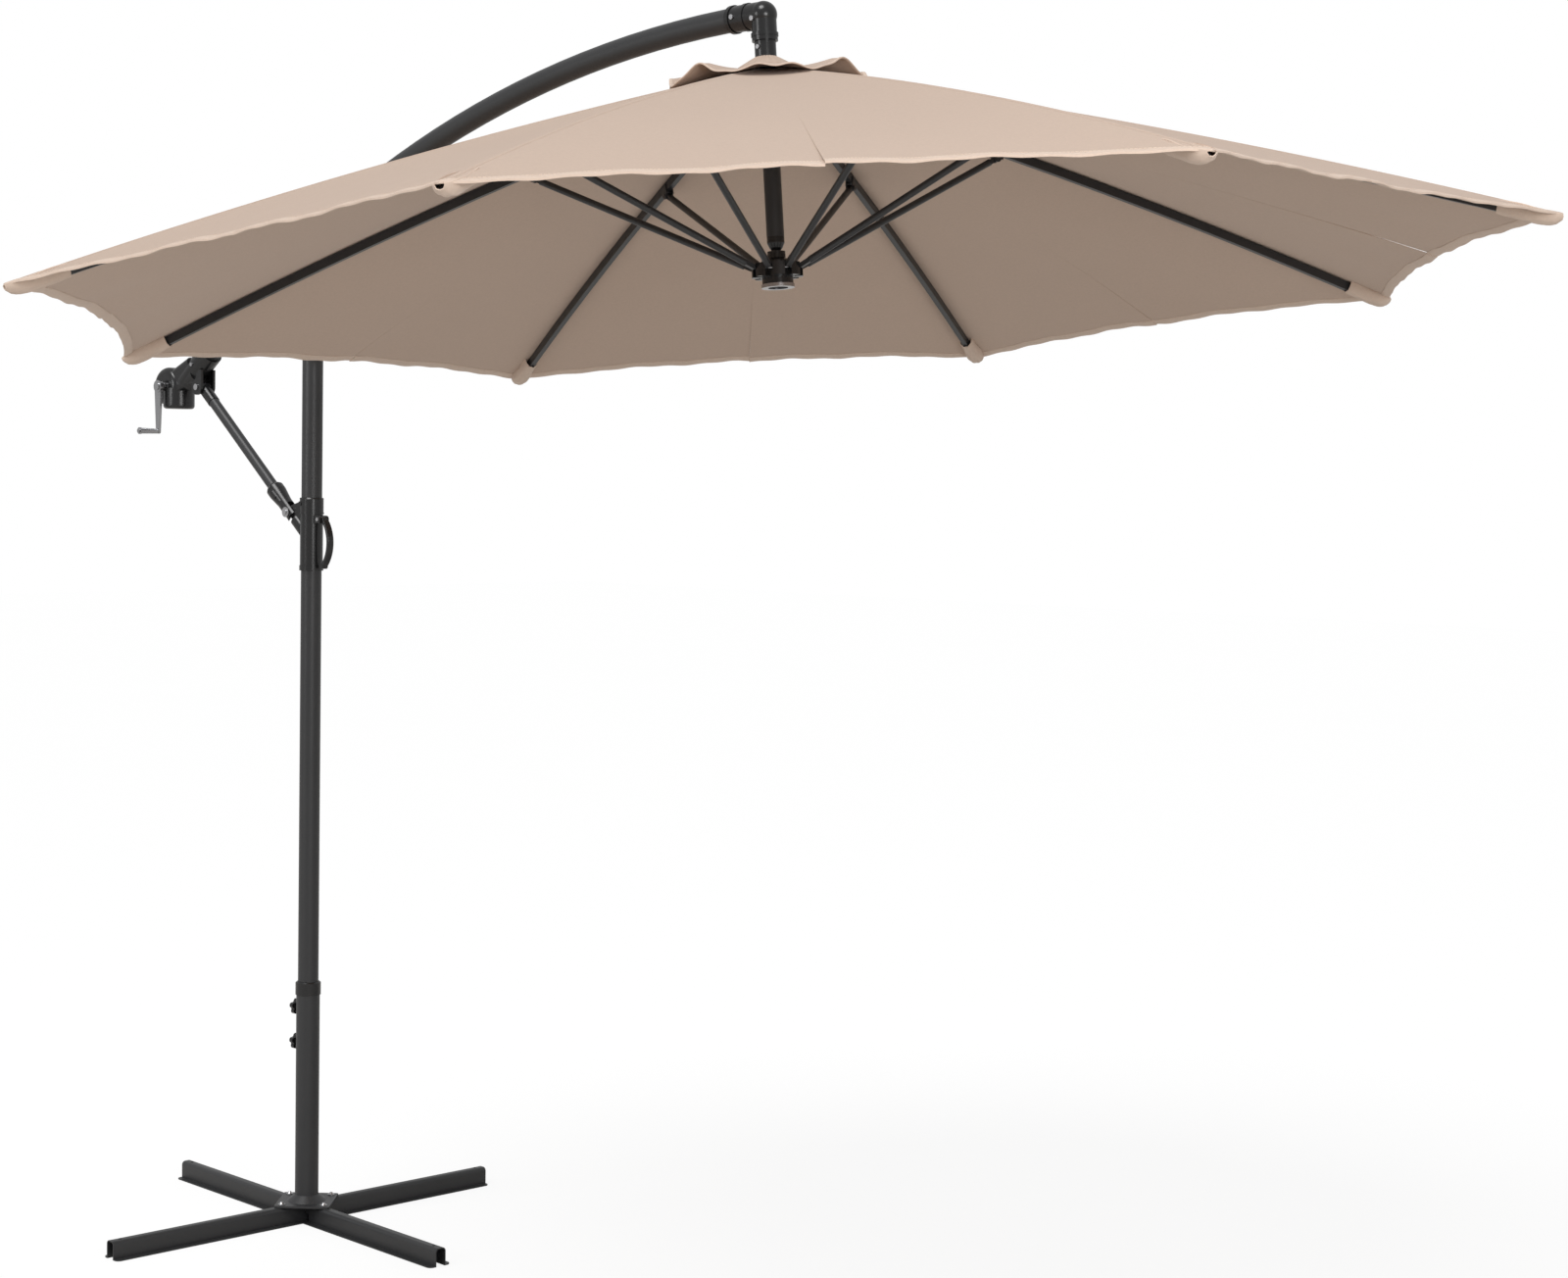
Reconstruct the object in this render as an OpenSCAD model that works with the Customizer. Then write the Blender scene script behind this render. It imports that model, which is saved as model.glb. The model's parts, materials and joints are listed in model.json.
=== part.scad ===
// Cantilever parasol: cross base, post and pole, lifting slider with link, curved arm
// with winder, elbow and hanging mast, eight ribs and struts, canopy with vent cap.
// Millimetres. Origin on the ground at the middle of the cross base, +Z up,
// +X from the pole towards the middle of the canopy.

/* [Cross base] */
// Length of each leg
leg_length = 1050; // [800:10:1300]
// Height of the legs
leg_height = 42; // [30:1:60]
// Width of the raised channel of a leg
leg_channel = 28; // [22:1:40]
// Width of a leg over its two flanges
leg_width = 60; // [50:1:80]
// Sheet thickness of the legs
leg_sheet = 2.5; // [1.5:0.5:4]
// Turn of the legs about the post, degrees
leg_turn = -4.2; // [-45:0.1:45]
// Distance of the anchor holes from the middle of the base
anchor_radius = 500; // [400:5:600]
// Side of the square flange plate
plate_side = 130; // [110:5:160]
// Distance of the flange bolts from the middle of the base
bolt_radius = 70; // [60:1:85]
// Top of the base post above the ground
post_top = 555; // [400:5:700]
// Outer diameter of the base post
post_diameter = 55; // [50:0.5:70]

/* [Pole and slider] */
// Outer diameter of the pole and of the arm
tube_diameter = 48; // [38:0.5:60]
// Wall thickness of the pole and of the arm
tube_wall = 2; // [1:0.5:3]
// Top of the pole tube above the ground
pole_top = 2235; // [2100:5:2400]
// Height of the arm pivot above the ground
pivot_height = 2262; // [2245:1:2300]
// Bottom of the slider housing
slider_bottom = 1540; // [1500:5:1600]
// Top of the slider housing
slider_top = 1710; // [1690:5:1760]
// Outer diameter of the link tube
link_diameter = 26; // [18:0.5:30]

/* [Arm and mast] */
// Bend radius of the arm
arm_radius = 3004; // [2500:1:3500]
// Outer diameter of the mast that carries the canopy
mast_diameter = 35; // [30:0.5:42]
// Tilt of the canopy towards the pole, degrees
canopy_tilt = 5.38; // [0:0.01:10]
// Radius of the spool that winds the hoist cord
spool_radius = 16; // [12:0.5:24]
// Length of the crank from shaft to grip
crank_length = 110; // [90:5:140]

/* [Canopy] */
// Radius of the open canopy to a corner
canopy_radius = 1500; // [1400:5:1600]
// Sag of the free edge between two corners
edge_sag = 60; // [20:5:100]
// Fabric thickness
fabric = 1.5; // [1:0.1:3]
// Radius of the vent cap
vent_radius = 205; // [150:5:260]
// Height of the rib pivots above the rim of the open canopy
crown_height = 430; // [380:5:480]
// Slope of the ribs of the open canopy, degrees
rib_slope = 16.62; // [14:0.01:20]
// Length of a rib from its pivot to its tip
rib_length = 1517; // [1400:1:1600]
// Upward bow of a rib at its middle
rib_bow = 20; // [5:1:40]
// Distance along a rib from its pivot to the strut pin
strut_pin = 498; // [400:1:600]

/* [Hidden] */
$fn = 64;

tube_r = tube_diameter / 2;
post_r = post_diameter / 2;
mast_r = mast_diameter / 2;
run_gap = 0.06;
hold_gap = 0.02;

// Colours of the materials
coat = [0.20, 0.20, 0.21];
plastic = [0.06, 0.06, 0.07];
steel = [0.75, 0.75, 0.76];
cloth = [0.82, 0.73, 0.66];
cord_white = [0.85, 0.84, 0.80];

// Knobs that clamp the pole in the post
knob_high = 504;
knob_low = 421;

// Link between the slider (lower end) and the winder (upper end)
low_x = -75;
low_z = 1675;
top_x = -420;
top_z = 1972;
link_length = sqrt(pow(top_x - low_x, 2) + pow(top_z - low_z, 2));
link_lean = atan2(top_x - low_x, top_z - low_z);

// Bend centre of the arm, and the arm angles of a given x
bend_x = 1454;
bend_z = -315;
function bend_angle(x) = acos((x - bend_x) / arm_radius);
function bend_height(x) = bend_z + sqrt(pow(arm_radius, 2) - pow(x - bend_x, 2));
arm_start_x = -462;
arm_end_x = 1376;
saddle_angle = atan2(pivot_height - bend_z, -bend_x);
saddle_drop = arm_radius - sqrt(pow(bend_x, 2) + pow(pivot_height - bend_z, 2));

// Winder
spool_x = -535;
spool_z = 1974;
neck_x = -440;
neck_lean = atan2(bend_height(neck_x) - spool_z, neck_x - spool_x);

// Corner of the elbow, where the arm meets the axis of the mast
corner_x = 1404;
corner_z = bend_height(corner_x);
pulley_x = corner_x - 8.2;
pulley_z = corner_z - 9.1;

// Rim plane of the open canopy
rim_x = 1456.6;
rim_z = 2133.1;
corner_h = (corner_z - rim_z) / cos(canopy_tilt);
crown_r = 38;
function rib_r(x, z) = crown_r + x * cos(rib_slope) + z * sin(rib_slope);
function rib_h(x, z) = crown_height - x * sin(rib_slope) + z * cos(rib_slope);
bow_radius = (pow(rib_length, 2) / 4 + pow(rib_bow, 2)) / (2 * rib_bow);
function bow(x) = sqrt(pow(bow_radius, 2) - pow(x - rib_length / 2, 2)) - bow_radius + rib_bow;
rib_half = 9;

// Runner that carries the inner ends of the struts
wire_r = 42;
wire_h = 51;
strut_r = rib_r(strut_pin, 0);
strut_h = rib_h(strut_pin, 0);
strut_length = sqrt(pow(strut_r - wire_r, 2) + pow(strut_h - wire_h, 2));
strut_lean = 180 - atan2(strut_h - wire_h, strut_r - wire_r);

// ---------- helpers ----------

// Cylinder along Y between two y values
module ycyl(x, z, r, y0, y1) {
  translate([x, y0, z])
    rotate([-90, 0, 0])
      cylinder(r = r, h = y1 - y0);
}

// Box given by its two corners
module block(low, high) {
  translate(low)
    cube(high - low);
}

// Ring or disc about Z between two heights
module drum(r, z0, z1) {
  translate([0, 0, z0])
    cylinder(r = r, h = z1 - z0);
}

// Cone about Z between two heights
module taper(r0, r1, z0, z1) {
  translate([0, 0, z0])
    cylinder(r1 = r0, r2 = r1, h = z1 - z0);
}

// Rectangle with rounded corners
module round_rect(w, h, r) {
  square([w - 2 * r, h], center = true);
  square([w, h - 2 * r], center = true);
  for (sx = [-1, 1])
    for (sy = [-1, 1])
      translate([sx * (w / 2 - r), sy * (h / 2 - r)])
        circle(r);
}

// Section of a channel with rounded shoulders, standing on the X axis
module channel_section(w, h, r) {
  translate([-w / 2, 0])
    square([w, h - r]);
  translate([-w / 2 + r, 0])
    square([w - 2 * r, h]);
  for (s = [-1, 1])
    translate([s * (w / 2 - r), h - r])
      circle(r);
}

// Sweep a section along the bend of the arm, between two x values
module along_arm(x0, x1) {
  translate([bend_x, 0, bend_z])
    rotate([90, 0, 0])
      rotate([0, 0, bend_angle(x1)])
        rotate_extrude(angle = bend_angle(x0) - bend_angle(x1), $fn = 360)
          translate([arm_radius, 0])
            children();
}

// Frame of the canopy: rim plane at z = 0, mast along +Z
module canopy_frame() {
  translate([rim_x, 0, rim_z])
    rotate([0, -canopy_tilt, 0])
      children();
}

// Frame of one rib: pivot at the origin, rib along +X
module rib_frame(k) {
  canopy_frame()
    rotate([0, 0, 45 * k - 22.5])
      translate([crown_r, 0, crown_height])
        rotate([0, rib_slope, 0])
          children();
}

// Frame of one strut: rib pin at the origin, strut along +X
module strut_frame(k) {
  canopy_frame()
    rotate([0, 0, 45 * k - 22.5])
      translate([strut_r, 0, strut_h])
        rotate([0, strut_lean, 0])
          children();
}

// Frame of the link: lower pivot at the origin, link along +Z
module link_frame() {
  translate([low_x, 0, low_z])
    rotate([0, link_lean, 0])
      children();
}

// Frame of the arm pivot: +Z square to the arm above the pivot
module pivot_frame() {
  translate([0, 0, pivot_height])
    rotate([0, 90 - saddle_angle, 0])
      children();
}

// ---------- cross base ----------

// One leg, along X before it is turned
module leg_blank() {
  difference() {
    union() {
      linear_extrude(leg_sheet)
        round_rect(leg_length, leg_width, 12);
      rotate([90, 0, 90])
        linear_extrude(leg_length, center = true)
          channel_section(leg_channel, leg_height, 9);
    }
    translate([0, 0, -1])
      rotate([90, 0, 90])
        linear_extrude(leg_length + 2, center = true)
          channel_section(leg_channel - 2 * leg_sheet, leg_height - leg_sheet + 1, 6.5);
    for (s = [-1, 1]) {
      translate([s * anchor_radius, 0, 0])
        drum(4, leg_height - leg_sheet - 1, leg_height + 1);
      translate([s * bolt_radius, 0, 0])
        drum(4.3, leg_height - leg_sheet - 1, leg_height + 1);
    }
  }
}

// Leg along X, cut away below where the other leg passes under it
module leg_a() {
  color(coat)
    rotate([0, 0, leg_turn])
      difference() {
        leg_blank();
        block([-leg_width / 2 - 0.3, -leg_width, -1],
          [leg_width / 2 + 0.3, leg_width, leg_height / 2 + 0.1]);
      }
}

// Leg along Y, cut away above where the first leg passes over it
module leg_b() {
  color(coat)
    rotate([0, 0, leg_turn + 90])
      difference() {
        leg_blank();
        block([-leg_channel / 2 - 0.2, -leg_width, leg_height / 2 - 0.1],
          [leg_channel / 2 + 0.2, leg_width, leg_height + 1]);
      }
}

// Flange plate, collar cone, post and the two clamp bosses, welded together
module base_post() {
  plate_top = leg_height + 5;
  color(coat)
    difference() {
      union() {
        rotate([0, 0, leg_turn + 45])
          translate([0, 0, leg_height])
            linear_extrude(5)
              round_rect(plate_side, plate_side, 6);
        taper(46, post_r + 0.5, plate_top, plate_top + 15);
        drum(post_r, leg_height, post_top);
        for (z = [knob_low, knob_high])
          translate([0, 0, z])
            rotate([0, -90, 0])
              drum(9, 25, 33);
      }
      drum(tube_r + run_gap, 60, post_top + 1);
      for (a = [0:90:270])
        rotate([0, 0, leg_turn + a])
          translate([bolt_radius, 0, 0])
            drum(4.3, leg_height - 1, plate_top + 1);
      for (z = [knob_low, knob_high])
        translate([0, 0, z])
          rotate([0, -90, 0])
            drum(4 + run_gap, 20, 34);
    }
}

// Domed bolts through the plate into the legs, with their nuts
module flange_bolts() {
  plate_top = leg_height + 5;
  color(steel)
    for (a = [0:90:270])
      rotate([0, 0, leg_turn + a])
        translate([bolt_radius, 0, 0]) {
          drum(4, leg_height - 12, plate_top);
          drum(8.5, plate_top, plate_top + 1.6);
          taper(7, 3, plate_top + 1.6, plate_top + 6);
            drum(4.9, leg_height - leg_sheet - 0.8, leg_height - leg_sheet);
          translate([0, 0, leg_height - leg_sheet - 7.2])
            cylinder(r = 7.2, h = 6.5, $fn = 6);
        }
}

// Moulded collar on top of the post
module post_collar() {
  color(plastic)
    difference() {
      union() {
        drum(post_r + 2.2, post_top - 16, post_top + 12);
        taper(post_r + 2.2, post_r - 1, post_top + 12, post_top + 15);
      }
      drum(post_r + hold_gap, post_top - 17, post_top);
      drum(tube_r + run_gap, post_top - 1, post_top + 16);
    }
}

// Star knob with five lobes and its clamp screw
module knob(z) {
  color(plastic)
    translate([0, 0, z])
      rotate([0, -90, 0]) {
        drum(4, tube_r + 0.5, 36);
        drum(9.5, 33.4, 37);
        drum(13, 35.6, 48);
        taper(11, 8, 47, 51);
        for (a = [0:72:288])
          rotate([0, 0, a])
            translate([12.2, 0, 0])
              drum(6.5, 36.4, 46.6);
      }
}

module knob_upper() {
  knob(knob_high);
}

module knob_lower() {
  knob(knob_low);
}

// ---------- pole ----------

module pole_tube() {
  color(coat)
    difference() {
      drum(tube_r, 61, pole_top);
      drum(tube_r - tube_wall, 60, pole_top + 1);
    }
}

// Cap with the two ears that hold the arm pivot
module pole_head() {
  color(plastic)
    difference() {
      union() {
        drum(28, 2168, 2214);
        taper(28, 32, 2206, 2214);
        drum(32, 2214, pole_top + 8);
        for (s = [-1, 1]) {
          block([-17, s * 22.9 - 2.6, pole_top + 7], [17, s * 22.9 + 2.6, pivot_height]);
          ycyl(0, pivot_height, 17, s * 22.9 - 2.6, s * 22.9 + 2.6);
        }
      }
      drum(tube_r + hold_gap, 2167, pole_top + 0.1);
      ycyl(0, pivot_height, 6 + hold_gap, -40, 40);
    }
}

module head_pin() {
  color(steel) {
    ycyl(0, pivot_height, 6, -26, 26);
    ycyl(0, pivot_height, 10, -29.5, -25.7);
    ycyl(0, pivot_height, 10, 25.7, 29.5);
  }
}

// ---------- slider ----------

lever_x = 38;
lever_z = 1660;

// Housing with the branch for the link and the ears for the lever
module slider_body() {
  color(plastic)
    difference() {
      union() {
        drum(26.6, slider_bottom, slider_top);
        drum(28, slider_bottom, slider_bottom + 12);
        drum(27.6, slider_top - 35, slider_top - 3);
        drum(28.6, slider_top - 38, slider_top - 34);
        taper(28.6, 26.6, slider_top - 3, slider_top);
        link_frame()
          drum(15.5, -66, -27);
        rotate([90, 0, 0])
          linear_extrude(18, center = true)
            polygon([[-20, 1632], [low_x + 6, low_z - 11], [low_x, low_z + 13], [-20, 1704]]);
        ycyl(low_x, low_z, 13, -9, 9);
        for (s = [-1, 1]) {
          block([20, s * 11.2 - 2.3, lever_z - 9], [lever_x, s * 11.2 + 2.3, lever_z + 9]);
          ycyl(lever_x, lever_z, 9, s * 11.2 - 2.3, s * 11.2 + 2.3);
        }
        for (s = [-1, 1])
          ycyl(-9, slider_top - 14, 5.5, s * 26.5 - 2.2, s * 26.5 + 2.2);
      }
      drum(25, slider_bottom - 1, slider_top + 1);
      ycyl(low_x, low_z, 4 + hold_gap, -20, 20);
      ycyl(lever_x, lever_z, 3 + hold_gap, -20, 20);
    }
}

// Two sliding bushes inside the housing
module slider_bushes() {
  color([0.25, 0.25, 0.26])
    for (z = [slider_bottom + 2, slider_top - 42])
      difference() {
        drum(25 - hold_gap, z, z + 40);
        drum(tube_r + run_gap, z - 1, z + 41);
      }
}

module lever_pin() {
  color(steel) {
    ycyl(lever_x, lever_z, 3, -13.6, 13.6);
    ycyl(lever_x, lever_z, 4.5, -15.5, -13.5);
    ycyl(lever_x, lever_z, 4.5, 13.5, 15.5);
  }
}

module link_pin() {
  color(steel) {
    ycyl(low_x, low_z, 4, -18, 18);
    ycyl(low_x, low_z, 12, -19.2, -17.6);
    ycyl(low_x, low_z, 12, 17.6, 19.2);
    ycyl(low_x, low_z, 6, -22.4, -19.2);
    ycyl(low_x, low_z, 6, 19.2, 22.4);
  }
}

// Locking lever with a bowed hand grip
module slider_lever() {
  bow_r = 80;
  mid_x = -12;
  mid_z = 1606;
  color(plastic)
    difference() {
      union() {
        ycyl(lever_x, lever_z, 7.5, -8.6, 8.6);
        block([34, -7.6, 1649], [54, 7.6, 1663]);
        translate([mid_x, 0, mid_z])
          rotate([90, 0, 0])
            rotate([0, 0, -44])
              rotate_extrude(angle = 86)
                translate([bow_r, 0])
                  round_rect(9, 17.2, 3);
        ycyl(mid_x + bow_r * cos(44), mid_z - bow_r * sin(44), 5.6, -8, 8);
      }
      ycyl(lever_x, lever_z, 3 + run_gap, -20, 20);
      drum(28.6, slider_bottom - 40, slider_top);
    }
}

// ---------- link ----------

module link_tube() {
  color(coat)
    link_frame()
      difference() {
        drum(link_diameter / 2, 24, link_length - 26);
        drum(link_diameter / 2 - 1.5, 23, link_length - 25);
      }
}

// Flared fork at the lower end
module link_socket() {
  color(plastic)
    link_frame()
      difference() {
        union() {
          drum(17.2, -16, 34);
          taper(17.2, 21.5, 34, 68);
          drum(21.5, 68, 82);
          taper(21.5, 17.5, 82, 88);
          for (s = [-1, 1])
            translate([0, 0, 52])
              rotate([-90, 0, 0])
                drum(4, s * 19.5 - 2, s * 19.5 + 2);
        }
        drum(link_diameter / 2 + hold_gap, 23.9, 89);
        block([-30, -9.6, -20], [30, 9.6, 19]);
        translate([0, -30, 0])
          rotate([-90, 0, 0])
            cylinder(r = 8.5, h = 60);
      }
}

// Eye at the upper end
module link_eye() {
  color(plastic)
    link_frame()
      difference() {
        union() {
          drum(14.6, link_length - 56, link_length - 6);
          translate([0, -12.3, link_length])
            rotate([-90, 0, 0])
              cylinder(r = 14.2, h = 24.6);
        }
        drum(link_diameter / 2 + hold_gap, link_length - 61, link_length - 25.9);
        translate([0, -20, link_length])
          rotate([-90, 0, 0])
            cylinder(r = 4 + run_gap, h = 40);
      }
}

// ---------- arm ----------

module arm_tube() {
  color(coat)
    difference() {
      along_arm(arm_start_x, arm_end_x)
        circle(tube_r);
      along_arm(arm_start_x - 2, arm_end_x + 2)
        circle(tube_r - tube_wall);
      pivot_frame()
        for (x = [-34, 34])
          translate([x, 0, saddle_drop])
            drum(2.6, 0, 40);
      for (s = [-1, 1])
        ycyl(1342, bend_height(1342), 2.6, s * 24 - 6, s * 24 + 6);
      for (s = [-1, 1])
        ycyl(neck_x + 12, bend_height(neck_x + 12), 2.6, s * 24 - 6, s * 24 + 6);
    }
}

// Saddle under the arm with the lug for the pivot
module arm_saddle() {
  color(plastic)
    difference() {
      union() {
        along_arm(-70, 24)
          circle(28.5);
        pivot_frame() {
          block([-16, -20, 0], [16, 20, 24]);
          ycyl(0, 0, 16, -20, 20);
        }
      }
      along_arm(-72, 26)
        circle(tube_r + hold_gap);
      ycyl(0, pivot_height, 6 + run_gap, -30, 30);
      pivot_frame()
        for (x = [-34, 34])
          translate([x, 0, saddle_drop])
            drum(2.6, 20, 40);
    }
}

module saddle_screws() {
  color(steel)
    pivot_frame()
      for (x = [-34, 34])
        translate([x, 0, saddle_drop]) {
          drum(2.5, 18, 29);
          taper(5.5, 3.5, 28.6, 32);
        }
}

// Rounded housing of the winder around the end of the arm
module winder_solid() {
  difference() {
    union() {
      translate([spool_x, 0, spool_z])
        rotate([-90, 0, 0])
          rotate_extrude() {
            translate([0, -34])
              square([30, 68]);
            translate([0, -17])
              square([47, 34]);
            for (s = [-1, 1])
              translate([30, s * 17])
                circle(17);
          }
      translate([spool_x + 16, 0, 0])
        rotate_extrude() {
          translate([0, spool_z - 54])
            square([30, 50]);
          translate([0, spool_z - 46])
            square([38, 42]);
          translate([30, spool_z - 46])
            circle(8);
        }
      translate([spool_x, 0, spool_z])
        rotate([0, 90 - neck_lean, 0])
          linear_extrude(104)
            round_rect(60, 56, 12);
      along_arm(-478, -392)
        circle(29.5);
      for (s = [-1, 1]) {
        block([top_x - 19, s * 18 - 3, top_z], [top_x + 19, s * 18 + 3, top_z + 42]);
        ycyl(top_x, top_z, 19, s * 18 - 3, s * 18 + 3);
      }
    }
    along_arm(arm_start_x - 0.1, -380)
      circle(tube_r + 3 * hold_gap);
    ycyl(spool_x, spool_z, 37, -24, 24);
    along_arm(-512, arm_start_x + 2)
      circle(5);
    ycyl(spool_x, spool_z, 8 + run_gap, -40, 28.2);
    ycyl(spool_x, spool_z, 12, -50, -34.4);
    ycyl(top_x, top_z, 4 + hold_gap, -30, 30);
    ycyl(top_x, top_z, 16, -14.9, 14.9);
    block([top_x - 17, -14.9, top_z - 30], [top_x + 60, 14.9, top_z]);
    for (s = [-1, 1])
      ycyl(neck_x + 12, bend_height(neck_x + 12), 2.6, s * 30 - 10, s * 30 + 10);
    for (a = [70, 190, 290])
      ycyl(spool_x + 41 * cos(a), spool_z + 41 * sin(a), 1.8, -26, 26);
  }
}

module winder_shell_near() {
  color(plastic)
    difference() {
      winder_solid();
      block([-700, -0.05, 1800], [-300, 100, 2200]);
    }
}

module winder_shell_far() {
  color(plastic)
    difference() {
      winder_solid();
      block([-700, -100, 1800], [-300, 0.05, 2200]);
    }
}

module winder_screws() {
  color(steel) {
    for (s = [-1, 1]) {
      ycyl(neck_x + 12, bend_height(neck_x + 12), 2.5, s * 25.5 - 4, s * 25.5 + 4);
      ycyl(neck_x + 12, bend_height(neck_x + 12), 4.5, s * 31 - 1.4, s * 31 + 1.4);
    }
    for (a = [70, 190, 290])
      ycyl(spool_x + 41 * cos(a), spool_z + 41 * sin(a), 1.75, -25, 25);
  }
}

module arm_link_pin() {
  color(steel) {
    ycyl(top_x, top_z, 4, -21.2, 21.2);
    ycyl(top_x, top_z, 7.5, -24.2, -21.1);
    ycyl(top_x, top_z, 7.5, 21.1, 24.2);
  }
}

// Hoist cord inside the arm
module arm_cord() {
  color(cord_white)
    along_arm(-494, 1391)
      circle(1.5);
}

module cord_spool() {
  color([0.30, 0.30, 0.31])
    difference() {
      union() {
        ycyl(spool_x, spool_z, spool_radius, -19, 19);
        ycyl(spool_x, spool_z, 32, -22.5, -19);
        ycyl(spool_x, spool_z, 32, 19, 22.5);
      }
      ycyl(spool_x, spool_z, 8 + hold_gap, -30, 30);
    }
}

module crank_shaft() {
  color(steel) {
    ycyl(spool_x, spool_z, 8, -44, 27.6);
    ycyl(spool_x, spool_z, 11, -44, -35);
  }
}

// Flat tapered crank with the pin for the grip
module crank_handle() {
  color(steel) {
    ycyl(spool_x, spool_z, 15, -53, -44);
    ycyl(spool_x, spool_z, 9, -56, -53);
    translate([spool_x, -45.5, spool_z])
      rotate([90, 0, 0])
        linear_extrude(6.5) {
          polygon([[-12.5, 0], [12.5, 0], [6, -crank_length], [-6, -crank_length]]);
          translate([0, -crank_length])
            circle(6);
        }
    ycyl(spool_x, spool_z - crank_length, 3, -106, -50);
    ycyl(spool_x, spool_z - crank_length, 5, -108, -105.4);
  }
}

module crank_grip() {
  color(steel)
    translate([spool_x, -105, spool_z - crank_length])
      rotate([-90, 0, 0])
        difference() {
          union() {
            drum(8.2, 0, 5);
            taper(7.2, 6, 5, 52);
          }
          drum(3 + run_gap, -1, 53);
        }
}

// ---------- elbow and mast ----------

module elbow_shell() {
  color(plastic)
    difference() {
      union() {
        along_arm(1322, corner_x)
          circle(26.4);
        along_arm(1322, 1331)
          circle(28.6);
        along_arm(1360, 1369)
          circle(28);
        translate([corner_x, 0, corner_z])
          intersection() {
            sphere(r = 27.2);
            drum(30, -27, 27);
          }
        canopy_frame() {
          drum(25, corner_h - 43, corner_h);
          drum(27.4, corner_h - 44, corner_h - 37);
          drum(26, corner_h - 53, corner_h - 43);
          drum(21.5, corner_h - 86, corner_h - 40);
        }
      }
      along_arm(1320, arm_end_x)
        circle(tube_r + hold_gap);
      along_arm(arm_end_x - 4, 1398)
        circle(3);
      ycyl(pulley_x, pulley_z, 12.5, -5.5, 5.5);
      ycyl(pulley_x, pulley_z, 3 + hold_gap, -30, 30);
      for (s = [-1, 1])
        ycyl(pulley_x, pulley_z, 5.2, s * 27 - 2.02, s * 27 + 2.02);
      canopy_frame() {
        drum(mast_r + hold_gap, corner_h - 90, corner_h - 28);
        drum(3, corner_h - 30, corner_h - 4);
        for (s = [-1, 1])
          ycyl(0, corner_h - 66, 2.6, s * 18 - 5, s * 18 + 5);
      }
      for (s = [-1, 1])
        ycyl(1342, bend_height(1342), 2.6, s * 24 - 6, s * 24 + 6);
    }
}

module elbow_screws() {
  color(steel)
    for (s = [-1, 1]) {
      ycyl(1342, bend_height(1342), 2.5, s * 24.5 - 2.5, s * 24.5 + 2.5);
      ycyl(1342, bend_height(1342), 5, s * 28 - 1.5, s * 28 + 1.5);
      canopy_frame() {
        ycyl(0, corner_h - 66, 2.5, s * 19 - 3, s * 19 + 3);
        ycyl(0, corner_h - 66, 4.5, s * 23.1 - 1.5, s * 23.1 + 1.5);
      }
    }
}

module pulley_pin() {
  color(steel) {
    ycyl(pulley_x, pulley_z, 3, -25, 25);
    ycyl(pulley_x, pulley_z, 5, -28, -25);
    ycyl(pulley_x, pulley_z, 5, 25, 28);
  }
}

module cord_pulley() {
  color([0.30, 0.30, 0.31])
    difference() {
      union() {
        ycyl(pulley_x, pulley_z, 7.4, -4, 4);
        ycyl(pulley_x, pulley_z, 10.5, -4, -2);
        ycyl(pulley_x, pulley_z, 10.5, 2, 4);
      }
      ycyl(pulley_x, pulley_z, 3 + run_gap, -10, 10);
    }
}

module mast_tube() {
  color(coat)
    canopy_frame()
      difference() {
        drum(mast_r, 116, corner_h - 28.5);
        drum(mast_r - 2, 115, corner_h - 28);
        for (s = [-1, 1])
          ycyl(0, corner_h - 66, 2.6, s * 18 - 5, s * 18 + 5);
      }
}

// Rounded end of the mast with the hole for the hoist cord
module mast_plug() {
  color(plastic)
    canopy_frame()
      difference() {
        union() {
          drum(mast_r - 2 - hold_gap, 115, 142);
          drum(mast_r, 104, 116 - hold_gap);
          taper(13, mast_r, 94, 104);
          taper(9, 13, 89, 94);
        }
        drum(3, 88, 143);
      }
}

// Crown that holds the inner ends of the ribs
module crown_hub() {
  low = crown_height - 9;
  color(plastic)
    canopy_frame()
      difference() {
        union() {
          drum(26, crown_height - 24, crown_height + 18);
          drum(46, low, crown_height + 7);
        }
        drum(mast_r + hold_gap, crown_height - 30, crown_height + 30);
        for (k = [1:8])
          rotate([0, 0, 45 * k - 22.5]) {
            block([28, -5.4, low - 20], [60, 5.4, crown_height + 30]);
            ycyl(crown_r, crown_height, 2 + hold_gap, -13, 13);
          }
      }
}

module crown_pins() {
  color(steel)
    canopy_frame()
      for (k = [1:8])
        rotate([0, 0, 45 * k - 22.5])
          ycyl(crown_r, crown_height, 2, -12, 12);
}

// ---------- canopy ----------

canopy_steps = 4;
function cloth_x(i) = i * (rib_length + 25) / canopy_steps;
function cloth_r(i) = rib_r(cloth_x(i), bow(cloth_x(i)) + rib_half + 3.5);
function cloth_h(i) = rib_h(cloth_x(i), bow(cloth_x(i)) + rib_half + 3.5);

// Eight-sided shell of the cloth, from its bowed profile
module canopy() {
  apothem = canopy_radius * cos(22.5);
  half_side = canopy_radius * sin(22.5);
  cut_r = (pow(half_side, 2) + pow(edge_sag, 2)) / (2 * edge_sag);
  low_side = [for (i = [0:canopy_steps]) [cloth_r(i), cloth_h(i)]];
  high_side = [for (i = [canopy_steps:-1:0]) [cloth_r(i), cloth_h(i) + fabric]];
  color(cloth)
    canopy_frame()
      difference() {
        intersection() {
          rotate([0, 0, 22.5])
            rotate_extrude($fn = 8)
              polygon(concat(low_side, high_side));
          drum(canopy_radius - 4, -100, crown_height + 60);
        }
        for (k = [0:7])
          rotate([0, 0, 45 * k])
            translate([apothem - edge_sag + cut_r, 0, -60])
              cylinder(r = cut_r, h = 200, $fn = 200);
      }
}

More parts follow.
